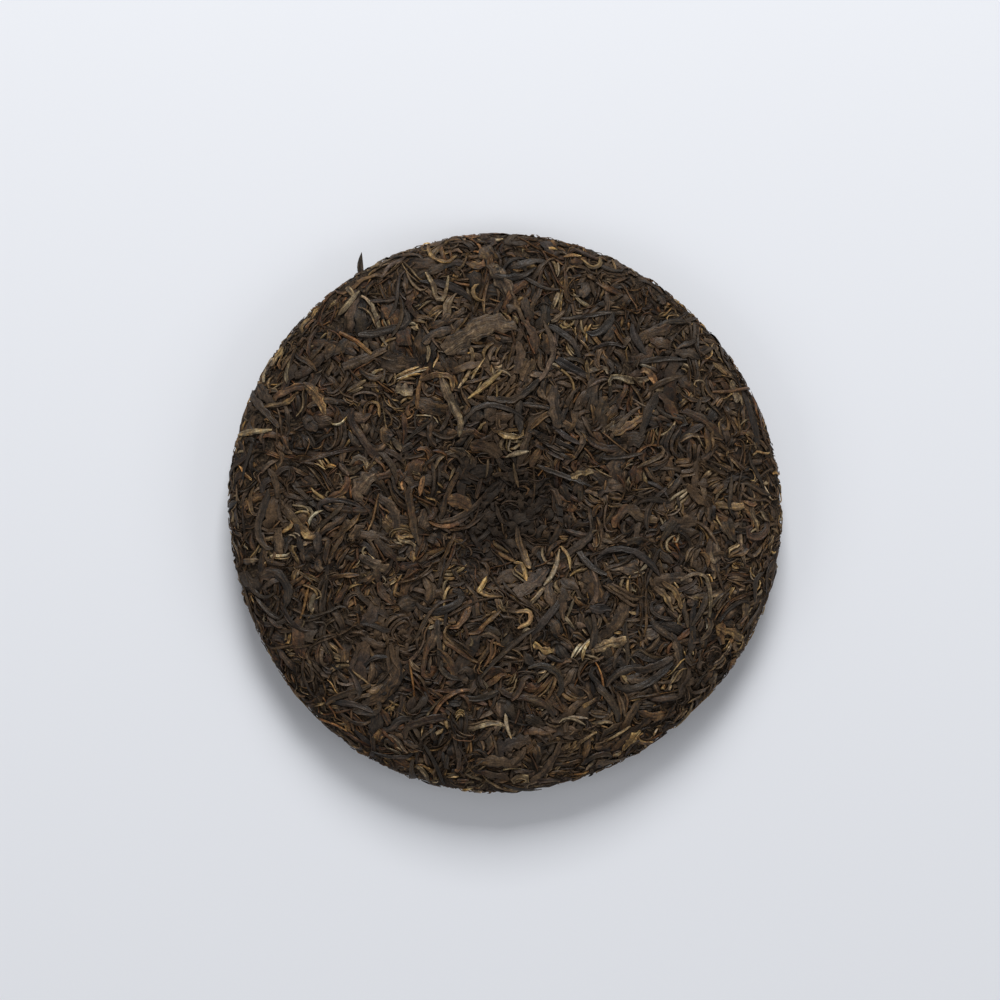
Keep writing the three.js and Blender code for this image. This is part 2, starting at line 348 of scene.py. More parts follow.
def lay_shoot(pile, x, y, picks, least_seen):
    """A shoot of one to five strands that start together and curve alike."""
    random = pile.random
    swirl, round_rim, rim = shoot_heading(x, y, pile.resting)
    heading = round_rim + random.normal(0, 0.4) if random.random() < rim else swirl + random.normal(0, 1.1)
    heading += math.pi * (random.random() < 0.5)
    kind = pick(random, picks)
    if kind in ("blade", "folded", "rolled") and random.random() < 0.8 * rim:
        kind = pick(random, RIM_PICKS)
    elif not pile.resting and math.hypot(x, y) < 0.65 * HOLLOW_RADIUS and random.random() < 0.8:
        kind = pick(random, HOLLOW_PICKS)
    rule = KINDS[kind]
    strands = pick(random, STRAND_PICKS) if kind in ("rolled", "tip", "thread") else 1
    family = tone_of(x, y, random)
    bend, sway = random.normal(0, rule["bend"]), random.normal(0, 0.5 * rule["bend"])
    hooks = [
        random.choice([-1, 1]) * random.uniform(1.0, 2.8) * (random.random() < rule["hook"])
        for _ in ("start", "end")
    ]
    length = skewed(random, rule["length"], 1.7)
    narrower = (1 - 0.3 * rim) * (1 if strands == 1 else 0.82)
    side = 0.0
    for _ in range(strands):
        width = skewed(random, rule["width"], 1.3) * narrower
        slip = random.normal(0, length * 0.1)
        own_length = length * random.uniform(0.7, 1.15)
        own_heading = heading + random.normal(0, 0.12)
        step = rule["step"] * (RESTING_STEP_SHARE if pile.resting else 1)
        steps = int(np.clip(round(own_length / step), 4, MOST_STEPS))
        px = x - math.sin(heading) * side + math.cos(heading) * slip
        py = y + math.cos(heading) * side + math.sin(heading) * slip
        own_bend = bend + random.normal(0, 0.3)
        path = curved_path(px, py, own_heading, own_length, steps, own_bend, sway, hooks)
        tone = np.clip(family + random.normal(0, 0.1), 0, 1) * rule["palest"]
        tone = tone + random.normal(0, 0.07) * np.linspace(-1, 1, steps + 1)
        thick = random.uniform(*rule["thick"])
        sink = random.exponential(0.08 + 0.12 * rim)
        tucks = random.uniform(0, 1.3, 2) * (random.random(2) < 0.7)
        twist = random.normal(0, 0.22)
        pile.lay(kind, *path, own_length, width, thick, tone, least_seen, sink, twist, tucks)
        side += width * random.uniform(0.7, 1.05)


def shoot_heading(x, y, resting):
    """The way leaves tend to lie at a place: in slow swirls, and round the rim."""
    reach, angle = math.hypot(x, y), math.atan2(y, x)
    swirl = 2 * math.pi * 1.6 * float(hills(x, y, 17, 5 if resting else 3))
    rim = float(smooth_share(reach, 0.82 * CAKE_RADIUS, 1.04 * CAKE_RADIUS))
    return swirl, angle + math.pi / 2, rim * 0.55


def tone_of(x, y, random):
    """A leaf's tone from 0, dark, to 1, pale. Leaves of a kind lie in loose patches."""
    patch = float(hills(x, y, 9, 31))
    reach = math.hypot(x, y)
    # Leaves are darker in the hollow, partly pressed darker and partly painted shade, and paler at the rim,
    # partly pale dry tips and partly painted light.
    hollow = 0.25 * math.exp(-((reach / (0.8 * HOLLOW_RADIUS)) ** 4))
    rim = 0.2 * float(smooth_share(reach, RIM_FROM, CAKE_RADIUS)) * (0.5 + random.random())
    own = 0.5 + 0.45 * (random.random() + random.random() - 1) + 0.12 * random.choice([-1, 0, 1])
    return float(np.clip(own + 0.3 * (patch - 0.5) - hollow + rim, 0, 1))


def through(points, steps):
    """Evenly spaced places on a smooth line through the points, and its headings."""
    points = np.array(points, float)
    padded = np.concatenate([2 * points[:1] - points[1:2], points, 2 * points[-1:] - points[-2:-1]])
    share = np.linspace(0, 1, 12, endpoint=False)[:, None]
    curve = []
    for before, start, end, after in zip(padded, padded[1:], padded[2:], padded[3:]):
        bend = 2 * before - 5 * start + 4 * end - after
        turn = 3 * (start - end) + after - before
        curve.append(start + 0.5 * share * (end - before + share * (bend + share * turn)))
    curve = np.concatenate([*curve, points[-1:]])
    walked = np.concatenate([[0], np.cumsum(np.hypot(*np.diff(curve, axis=0).T))])
    at = np.linspace(0, walked[-1], steps + 1)
    x, y = np.interp(at, walked, curve[:, 0]), np.interp(at, walked, curve[:, 1])
    return x, y, np.unwrap(np.arctan2(np.gradient(y), np.gradient(x))), walked[-1]


def lay_marked(pile):
    """The leaves that stand out on the shown face, each where it lies."""
    for kind, tone, width, *places in MARKED_LEAVES:
        spread = [SKIN.on_map(x, y) for x, y in zip(places[::2], places[1::2])]
        rough_length = sum(math.dist(a, b) for a, b in zip(spread, spread[1:]))
        steps = int(np.clip(round(rough_length / KINDS[kind]["step"]), 4, 14))
        x, y, turn, length = through(spread, steps)
        tones = tone + 0.05 * np.linspace(-1, 1, steps + 1)
        thick = sum(KINDS[kind]["thick"]) / 2
        pile.lay(kind, x, y, turn, length, width, thick, tones, least_seen=0.0, sink=0.0, twist=0.1)


# Kind, tone and width, then x and y by turns of places seen from above, in millimetres from the middle
MARKED_LEAVES = (
    ("tip", 0.72, 2.4, -96, 27.2, -89, 27.9, -83, 28.3),
    ("stem", 0.45, 1.3, 74, 42.6, 82, 43.2, 89.5, 44.9),
    ("tip", 0.68, 2.0, 74.7, 53.4, 77, 51.6, 79.8, 49.1),
    ("tip", 0.60, 1.8, 67.6, -68.9, 66.4, -74.2, 61.8, -78.5),
    ("rolled", 0.92, 2.1, -28.2, 84.2, -25.8, 79.5, -24.6, 74.8, -21.8, 75.6, -20.4, 83),
    ("tip", 0.85, 1.5, 20.7, 90.7, 24, 91.6, 27.2, 91.4),
    ("tip", 0.50, 1.8, 27.2, 90.3, 30.8, 87.4, 33.9, 88.6, 34.2, 91.6),
    ("blade", 0.62, 7.2, -22, 56, -12, 62.9, -2.8, 66.1, 3.7, 64.3),
    ("flake", 0.94, 2.6, 23.2, 12, 27, 13.2, 31.1, 13.4),
    ("tip", 0.55, 1.9, 0.1, 18.9, 4, 20.2, 8.4, 21),
    ("tip", 0.45, 1.3, 3, 17, 3.6, 13, 4.8, 8.4),
    ("blade", 0.80, 5.4, -20.5, 3.6, -16.5, 3.4, -12.6, 0.6),
    ("tip", 0.80, 0.9, 6.3, 8.8, 8.5, 7.6, 7.4, 5.6),
    ("tip", 0.83, 1.0, -18.2, 15, -19, 12.6, -20, 10.4),
    ("rolled", 0.88, 1.8, -8.2, 11.4, -9.4, 8, -10.4, 4.4),
    ("tip", 0.45, 2.3, -29, 12, -29.8, 8.4, -30.6, 5),
    ("rolled", 0.90, 2.7, 4.2, -5, 5.4, -12, 8.8, -20.6),
    ("tip", 0.84, 1.8, 3, -18.4, 6, -19, 7.4, -25),
    ("tip", 0.86, 1.9, -6.7, -23.4, -8, -26, -10, -29),
    ("tip", 0.72, 1.8, 13.4, -26.6, 16.4, -22.8, 17.9, -19, 19.1, -13.7),
    ("tip", 0.66, 1.4, 19.6, -12.6, 22.2, -16.4, 22.9, -21.4),
    ("tip", 0.55, 1.8, 3.2, -36, 8.2, -35.8, 8.2, -39.6, 4, -41.8),
    ("blade", 0.90, 3.6, 31.4, -49.8, 37, -47.4, 42.9, -46.2),
    ("blade", 0.88, 3.1, 75.4, -41.9, 80.6, -43.4, 85.5, -46.2),
    ("tip", 0.66, 1.6, 0, -70.7, 0.2, -75.6, 1.8, -80.4),
    ("flake", 0.93, 3.4, 42.2, -85.9, 45, -82.6, 48.3, -78.6),
    ("tip", 0.50, 2.2, -13.7, 39.3, -8.3, 43.3, -1.4, 49.4),
    ("flake", 0.98, 3.6, -83.6, 51.4, -81.2, 55.4, -79.2, 58.2),
    ("tip", 0.66, 2.0, -85.8, 45.4, -86.4, 48, -85.6, 50.6),
    ("tip", 0.62, 1.6, -77.6, 44.6, -78, 48.4, -76.8, 52.6),
    ("rolled", 0.10, 3.2, -90.6, 42.4, -86, 35.2, -80.4, 29),
    ("tip", 0.52, 2.4, -59.4, 68.8, -55.6, 73.4, -52, 77.8),
    ("stem", 0.80, 1.5, -59, 62.6, -53, 59.6, -47.6, 55),
    ("blade", 0.93, 4.0, -71.6, 45, -67.4, 41, -64, 33.6),
    ("rolled", 0.90, 2.0, -86, 36.6, -78.2, 37.8, -73.4, 41.6),
    ("tip", 0.78, 1.1, -12.3, 46.2, -10.4, 49.8, -7.6, 53.7),
    ("flake", 0.97, 2.2, 9.6, -47.4, 13.1, -49.4, 16.8, -50.2),
    ("rolled", 0.84, 1.7, 62, -25, 66.5, -22.4, 71, -23.6, 72.6, -30, 72.4, -38),
    ("rolled", 0.08, 3.4, 54.2, 42.2, 50.4, 34, 48, 26.4),
    ("folded", 0.55, 3.4, -57.6, 50.2, -50, 53.4, -42.4, 56.6),
    ("rolled", 0.80, 2.2, -30.6, 45.8, -24.6, 47.8, -19.6, 46.6, -19, 42),
    ("blade", 0.40, 5.0, 17.4, 44.2, 17, 37.4, 18.6, 29),
    ("rolled", 0.84, 3.3, -23.4, 47.6, -20.5, 40.4, -16.2, 31.4, -16.8, 26),
    ("folded", 0.87, 3.3, 38.6, 26.7, 45.8, 31.4, 53, 35.7),
    ("rolled", 0.66, 2.2, 9, 28.9, 13, 33, 18, 36),
    ("flake", 0.60, 4.2, 5.4, 46, 7.2, 49.6, 9.7, 53.4),
    ("rolled", 0.82, 1.2, -50.5, 33.2, -49.2, 37.4, -45.6, 37.6, -44.8, 32.8),
    ("rolled", 0.06, 2.9, -6.9, 39.7, 0.7, 38.8, 6.9, 41.6, 11.6, 46.6),
    ("rolled", 0.62, 2.1, 13.3, 67.5, 16.8, 58.4, 15, 50.5, 10.6, 44.8),
    ("rolled", 0.88, 1.7, -27.4, 94.5, -26.3, 90.2, -20.9, 88, -17.3, 90.4),
    ("flake", 0.84, 4.8, -39, 43.4, -36.4, 42.4, -33, 41.4),
    ("folded", 0.84, 2.6, 52.6, -27.4, 56.6, -30.4, 59.6, -36),
    ("folded", 0.80, 2.4, 55.6, -25.4, 60, -29, 62.6, -35),
)


# How each face is filled, turn by turn: the kinds picked, the covered share that is enough, the share of a
# leaf that has to be seen, the most tries, and True where it is the rim alone that is filled
SHOWN_FILLS = (
    (UPPERMOST_PICKS, 0.12, 0.8, 300),
    (TOP_PICKS, 0.27, 0.6, 1500),
    (PICKS, 0.74, 0.45, 6000),
    (PICKS, 0.90, 0.3, 6000),
    (FILLERS, 0.975, 0.2, 8500),
    (FILLERS, 0.985, 0.12, 4000, True),
)
RESTING_FILLS = (
    (UPPERMOST_PICKS, 0.06, 0.8, 200),
    (TOP_PICKS, 0.24, 0.6, 1000),
    (PICKS, 0.74, 0.45, 5000),
    (PICKS, 0.88, 0.3, 5000),
    (FILLERS, 0.95, 0.24, 5000),
)


def shown_leaves():
    """The leaves of the shown face and of the rim."""
    pile = Pile(SHOWN_REACH, resting=False, seed=11)
    lay_marked(pile)
    for turn in SHOWN_FILLS:
        pile.fill(*turn)
    return pile.leaves


def resting_leaves():
    """The leaves of the resting face."""
    pile = Pile(RESTING_REACH, resting=True, seed=12)
    for turn in RESTING_FILLS:
        pile.fill(*turn)
    return pile.leaves


# Leaf sections: pairs of how far across and how high, in half widths and in thicknesses, once round
SECTIONS = {
    "creased": ((1.0, 0.1), (0.76, 0.85), (0.4, 0.6), (0.05, 0.85), (-0.35, 0.6), (-0.74, 0.9), (-1, 0.1)),
    "folded": ((1.0, 0.1), (0.72, 0.7), (0.32, 0.5), (0.1, 1.0), (-0.3, 0.7), (-0.74, 1.0), (-1.0, 0.1)),
    "flat": ((1.0, 0.1), (0.66, 0.8), (0.3, 0.65), (0.0, 0.95), (-0.3, 0.65), (-0.66, 0.8), (-1.0, 0.1)),
    "broken": ((1.0, 0.1), (0.6, 0.85), (0.0, 0.65), (-0.55, 0.95), (-1.0, 0.1)),
    "round": ((1.0, 0.15), (0.5, 0.85), (-0.05, 1.0), (-0.55, 0.85), (-1.0, 0.15)),
    "thin": ((1.0, 0.1), (0.4, 0.95), (-0.45, 0.9), (-1.0, 0.1)),
}


def in_scene(name, data):
    """A new object with the data, linked to the scene."""
    thing = bpy.data.objects.new(name, data)
    bpy.context.scene.collection.objects.link(thing)
    return thing


def section_object(name):
    """A closed ring of points that carries its own across and rise values."""
    ring = SECTIONS[name]
    mesh = bpy.data.meshes.new("section_" + name)
    sides = [(corner, (corner + 1) % len(ring)) for corner in range(len(ring))]
    mesh.from_pydata([(across, rise, 0) for across, rise in ring], sides, [])
    for label, values in zip(("across", "rise"), zip(*ring)):
        mesh.attributes.new(label, "FLOAT", "POINT").data.foreach_set("value", values)
    return in_scene("section_" + name, mesh)


STATION_VALUES = ("thick", "half", "lean_left", "lean_right", "tone", "grain_seed", "sunk", "distance")
HOLLOW_SHADE = 0.52
LOOSE_TIP = dict(reach=9.3, width=2.3, thickness=0.7, height=12.5, curl=0.5)
LOOSE_TIP |= dict(x=-0.512 * CAKE_RADIUS, y=0.833 * CAKE_RADIUS)


def station_rows(values):
    """The values as one row for each point along a leaf."""
    return np.stack([values[name] for name in STATION_VALUES], 1)


def leaf_stations(leaf, number):
    """The points along a leaf's middle, the ways to its edges and outwards, and rows of the values there."""
    x, y, resting = leaf["x"], leaf["y"], leaf["resting"]
    lift = 0.3 * (hills(x, y, 8, 51) - 0.5) - leaf["depth"] - leaf["thick"]
    place, up = SKIN.place(x, y, lift, resting)
    left, right = (
        SKIN.place(x + leaf["side_x"] * reach, y + leaf["side_y"] * reach, lift, resting)[0] - place
        for reach in (leaf["left"], -leaf["right"])
    )
    values = dict(leaf)
    for name in ("thick", "lean_left", "lean_right"):
        values[name] = leaf[name] * MM
    values["grain_seed"] = np.full(len(place), number * 7.31 % 97)
    in_hollow = 0 if resting else np.exp(-((np.hypot(x, y) / (0.75 * HOLLOW_RADIUS)) ** 4))
    # How deep the leaf lies, raised in the hollow: it drives painted shade there, and rougher leaves.
    values["sunk"] = np.clip(leaf["depth"] / DEEPEST + HOLLOW_SHADE * in_hollow, 0, 1)
    values["distance"] = (leaf["along"] + 1) / 2 * leaf["length"]
    return place * MM, left * MM, right * MM, up, station_rows(values)


def loose_tip_stations():
    """The same for the leaf tip that stands out of the rim, from inside the cake to its point."""
    along = np.linspace(0, 1, 8)
    none = np.zeros_like(along)
    full = np.sin(math.pi * (0.22 + 0.76 * along))
    curl = LOOSE_TIP["curl"] * np.sin(math.pi * along)
    distance = along * LOOSE_TIP["reach"]
    place = np.stack([LOOSE_TIP["x"] - curl, LOOSE_TIP["y"] + distance, none + LOOSE_TIP["height"]], 1)
    half = LOOSE_TIP["width"] * full / 2
    to_left = np.stack([-half, none, none], 1)
    up = np.stack([none, none, none + 1], 1)
    # The tip gets painted shade towards its base, where it goes into the rim.
    values = dict(
        thick=LOOSE_TIP["thickness"] * full * MM, half=half, lean_left=none, lean_right=none,
        tone=none + 0.2, grain_seed=none + 5, sunk=0.3 * (1 - along), distance=distance,
    )
    return place * MM, to_left * MM, -to_left * MM, up, station_rows(values)


def path_object(name, stations):
    """The middle lines of many leaves as chains of edges, with what the sweep needs kept at each point."""
    points, lefts, rights, ups, values = (np.concatenate(rows) for rows in zip(*stations))
    ends = np.cumsum([len(station[0]) for station in stations])
    chain = np.arange(len(points) - 1)
    joined = ~np.isin(chain + 1, ends)
    edges = np.stack([chain[joined], chain[joined] + 1], 1)
    mesh = bpy.data.meshes.new(name + "_paths")
    mesh.vertices.add(len(points))
    mesh.vertices.foreach_set("co", points.astype(np.float32).ravel())
    mesh.edges.add(len(edges))
    mesh.edges.foreach_set("vertices", edges.astype(np.int32).ravel())
    for label, vectors in (("centre", points), ("to_left", lefts), ("to_right", rights), ("up", ups)):
        stored = mesh.attributes.new(label, "FLOAT_VECTOR", "POINT")
        stored.data.foreach_set("vector", vectors.astype(np.float32).ravel())
    for column, label in enumerate(STATION_VALUES):
        stored = mesh.attributes.new(label, "FLOAT", "POINT")
        stored.data.foreach_set("value", values[:, column].astype(np.float32))
    mesh.update()
    return in_scene(name + "_paths", mesh)


class Tree:
    """Short ways to add nodes to a node tree and to join them."""

    def __init__(self, tree):
        self.tree = tree

    def add(self, kind, inputs=None, **settings):
        """A new node with its settings and inputs."""
        node = self.tree.nodes.new(kind)
        for name, value in settings.items():
            setattr(node, name, value)
        return self.feed(node, inputs or {})

    def feed(self, node, inputs):
        """Joins a node's inputs to sockets, and sets those that are given as plain values."""
        for key, value in inputs.items():
            if isinstance(value, bpy.types.NodeSocket):
                self.tree.links.new(value, node.inputs[key])
            else:
                node.inputs[key].default_value = value
        return node

    def first(self, kind, inputs=None, **settings):
        """The first output of a new node."""
        return self.add(kind, inputs, **settings).outputs[0]

    def math(self, operation, first, second=0.0, third=0.0):
        return self.first("ShaderNodeMath", {0: first, 1: second, 2: third}, operation=operation)

    def times(self, value, *factors):
        for factor in factors:
            value = self.math("MULTIPLY", value, factor)
        return value

    def spread(self, value, low, high, to_low, to_high):
        """Maps a range of values onto another."""
        inputs = {"Value": value, "From Min": low, "From Max": high, "To Min": to_low, "To Max": to_high}
        return self.first("ShaderNodeMapRange", inputs)

    def point(self, x, y, z):
        return self.first("ShaderNodeCombineXYZ", {0: x, 1: y, 2: z})

    def noise(self, place, scale, detail, **others):
        """Smooth noise at a place. The others can be roughness and distortion."""
        inputs = {"Vector": place, "Scale": scale, "Detail": detail}
        inputs |= {name.capitalize(): value for name, value in others.items()}
        return self.first("ShaderNodeTexNoise", inputs)

    def bump(self, height, strength, distance):
        return self.first("ShaderNodeBump", {"Height": height, "Strength": strength, "Distance": distance})

    def store(self, geometry, name, value, kind="FLOAT"):
        """The geometry with a value kept at each of its points."""
        inputs = {"Geometry": geometry, "Name": name, "Value": value}
        return self.first("GeometryNodeStoreNamedAttribute", inputs, data_type=kind, domain="POINT")

    def vector(self, operation, first, second=None, scale=None):
        inputs = {0: first}
        if second is not None:
            inputs[1] = second
        if scale is not None:
            inputs["Scale"] = scale
        return self.first("ShaderNodeVectorMath", inputs, operation=operation)

    def ramp(self, value, stops):
        """Colours by value, from stops of a position and a colour."""
        node = self.add("ShaderNodeValToRGB", {"Fac": value})
        elements = node.color_ramp.elements
        while len(elements) < len(stops):
            elements.new(0.5)
        for element, (position, *colour) in zip(elements, stops):
            element.position = position
            element.color = (*colour, 1)
        return node.outputs["Color"]


def node_group(name, kind, inputs, outputs):
    """A new group with its sockets, its tree, and what the group is given."""
    group = bpy.data.node_groups.new(name, kind)
    for way, sockets in (("INPUT", inputs), ("OUTPUT", outputs)):
        for label, socket_kind in sockets.items():
            group.interface.new_socket(label, in_out=way, socket_type="NodeSocket" + socket_kind)
    tree = Tree(group)
    return group, tree, tree.add("NodeGroupInput").outputs


# What all leaves share of their shape: the size of their creases in millimetres, how far the ridges wander
# from side to side, and the sharpest edge that is shaded smooth
LEAF_SHAPE = {
    "Crease width": 0.7,
    "Crease length": 9.0,
    "Wander": 1.1,
    "Sharpest smooth edge": math.radians(60),
}
SWEEP_INPUTS = dict(Paths="Geometry", Section="Object", Finish="Material")
SWEEP_INPUTS |= dict.fromkeys(("Creasing", *LEAF_SHAPE), "Float")


def sweep_tree():
    """Sweeps a leaf's section along each path, and widens, leans and creases it by the values kept there."""
    group, tree, given = node_group("swept_leaves", "GeometryNodeTree", SWEEP_INPUTS, {"Leaves": "Geometry"})

    def stored(name, kind="FLOAT"):
        return tree.first("GeometryNodeInputNamedAttribute", {"Name": name}, data_type=kind)

    across, rise, distance, seed = (stored(name) for name in ("across", "rise", "distance", "grain_seed"))
    rails = tree.first("GeometryNodeMeshToCurve", {"Mesh": given["Paths"]})
    section = tree.add("GeometryNodeObjectInfo", {"Object": given["Section"]}).outputs["Geometry"]
    ring = tree.first("GeometryNodeMeshToCurve", {"Mesh": section})
    swept = {"Curve": rails, "Profile Curve": ring, "Fill Caps": True}
    swept = tree.first("GeometryNodeCurveToMesh", swept)

    wander = tree.noise(tree.point(tree.times(distance, 0.35), 9.0, seed), 1.0, 0.0)
    wander = tree.times(tree.math("SUBTRACT", wander, 0.5), given["Wander"])
    inner = tree.math("SUBTRACT", 1.0, tree.times(across, across))
    across = tree.math("MULTIPLY_ADD", inner, wander, across)
    to_left = tree.math("MAXIMUM", across, 0.0)
    to_right = tree.math("MAXIMUM", tree.times(across, -1.0), 0.0)
    half = tree.times(across, stored("half"))

    crease_along = tree.math("DIVIDE", distance, given["Crease length"])
    crease_across = tree.math("DIVIDE", half, given["Crease width"])
    crease = tree.noise(tree.point(crease_along, crease_across, seed), 1.0, 1.0)
    crease = tree.math("MULTIPLY_ADD", tree.math("SUBTRACT", crease, 0.5), given["Creasing"], 1.0)
    creased = tree.times(rise, tree.math("MAXIMUM", crease, 0.05))
    crest = {"Switch": tree.math("GREATER_THAN", rise, 0.0), "False": rise, "True": creased}
    crest = tree.first("GeometryNodeSwitch", crest, input_type="FLOAT")

    left_lean = tree.times(to_left, stored("lean_left"))
    lean = tree.math("ADD", left_lean, tree.times(to_right, stored("lean_right")))
    height = tree.math("MULTIPLY_ADD", crest, stored("thick"), lean)
    place = stored("centre", "FLOAT_VECTOR")
    for way, share in (("to_left", to_left), ("to_right", to_right), ("up", height)):
        place = tree.vector("ADD", place, tree.vector("SCALE", stored(way, "FLOAT_VECTOR"), scale=share))
    shaped = tree.first("GeometryNodeSetPosition", {"Geometry": swept, "Position": place})

    marked = tree.store(shaped, "grain", tree.point(distance, half, seed), "FLOAT_VECTOR")
    # The crest height and the edge share are kept for the finish's painted highlights and painted shade.
    marked = tree.store(marked, "crest", crest)
    marked = tree.store(marked, "edge", tree.math("ABSOLUTE", across))
    smooth = tree.first("GeometryNodeSetShadeSmooth", {"Geometry": marked})
    angle = tree.first("GeometryNodeInputMeshEdgeAngle")
    is_sharp = tree.math("GREATER_THAN", angle, given["Sharpest smooth edge"])
    edges = {"Geometry": smooth, "Selection": is_sharp, "Shade Smooth": False}
    sharp = tree.first("GeometryNodeSetShadeSmooth", edges, domain="EDGE")
    real = tree.first("GeometryNodeRealizeInstances", {"Geometry": sharp})
    dressed = tree.first("GeometryNodeSetMaterial", {"Geometry": real, "Material": given["Finish"]})
    tree.add("NodeGroupOutput", {"Leaves": dressed})
    return group


def set_inputs(modifier, values):
    """Sets a modifier's inputs by the identifiers of their sockets."""
    for item in modifier.node_group.interface.items_tree:
        if item.item_type == "SOCKET" and item.in_out == "INPUT" and item.name in values:
            modifier[item.identifier] = values[item.name]


def signed_volume(mesh):
    """The mesh's volume, negative where its faces point inwards."""
    mesh.calc_loop_triangles()
    corners = np.empty(len(mesh.loop_triangles) * 3, np.int32)
    mesh.loop_triangles.foreach_get("vertices", corners)
    places = np.empty(len(mesh.vertices) * 3, np.float32)
    mesh.vertices.foreach_get("co", places)
    first, second, third = places.reshape(-1, 3).astype(float)[corners.reshape(-1, 3).T]
    return float(np.einsum("ij,ij->i", first, np.cross(second, third)).sum() / 6)


def made_real(source, name):
    """A plain mesh object of what the source's modifiers make. The source is removed."""
    graph = bpy.context.evaluated_depsgraph_get()
    mesh = bpy.data.meshes.new_from_object(source.evaluated_get(graph))
    mesh.name = name
    if signed_volume(mesh) < 0:
        mesh.flip_normals()
    bpy.data.objects.remove(source)
    return in_scene(name, mesh)


def swept_piece(name, stations, sweep, section, creasing, finish):
    """One piece that holds many swept leaves."""
    source = path_object(name, stations)
    modifier = source.modifiers.new("sweep", "NODES")
    modifier.node_group = sweep
    set_inputs(modifier, LEAF_SHAPE | {"Section": section, "Creasing": creasing, "Finish": finish})
    return made_real(source, name)


# What each leaf's own hue multiplies its colour by: reddish, golden, plain, olive and grey leaves
LEAF_HUES = (
    (0.0, 1.30, 0.95, 0.68),
    (0.2, 1.14, 1.02, 0.66),
    (0.32, 1.10, 1.06, 0.70),
    (0.45, 1.02, 1.02, 0.93),
    (0.7, 0.93, 1.02, 0.99),
    (1.0, 0.92, 0.98, 1.14),
)
# The same for the painted shade of leaves that lie deep or in the hollow, which also turns them redder, and
# the colours of leaves that are crushed into one mat
DEPTH_SHADE_HUES = ((0.0, 1.0, 1.0, 1.0), (1.0, 1.20, 0.94, 0.72))
MAT_COLOURS = (
    (0.35, 0.040, 0.027, 0.017),
    (0.5, 0.060, 0.040, 0.024),
    (0.65, 0.070, 0.041, 0.020),
)
SKIN_INPUTS = dict(Base="Color", Grain="Vector", Place="Vector")
SKIN_INPUTS |= dict.fromkeys(("Crest", "Edge", "Sunk", "Fibre contrast", "Matting", "Roughness"), "Float")
SKIN_OUTPUTS = {"Colour": "Color", "Roughness": "Float", "Height": "Float"}


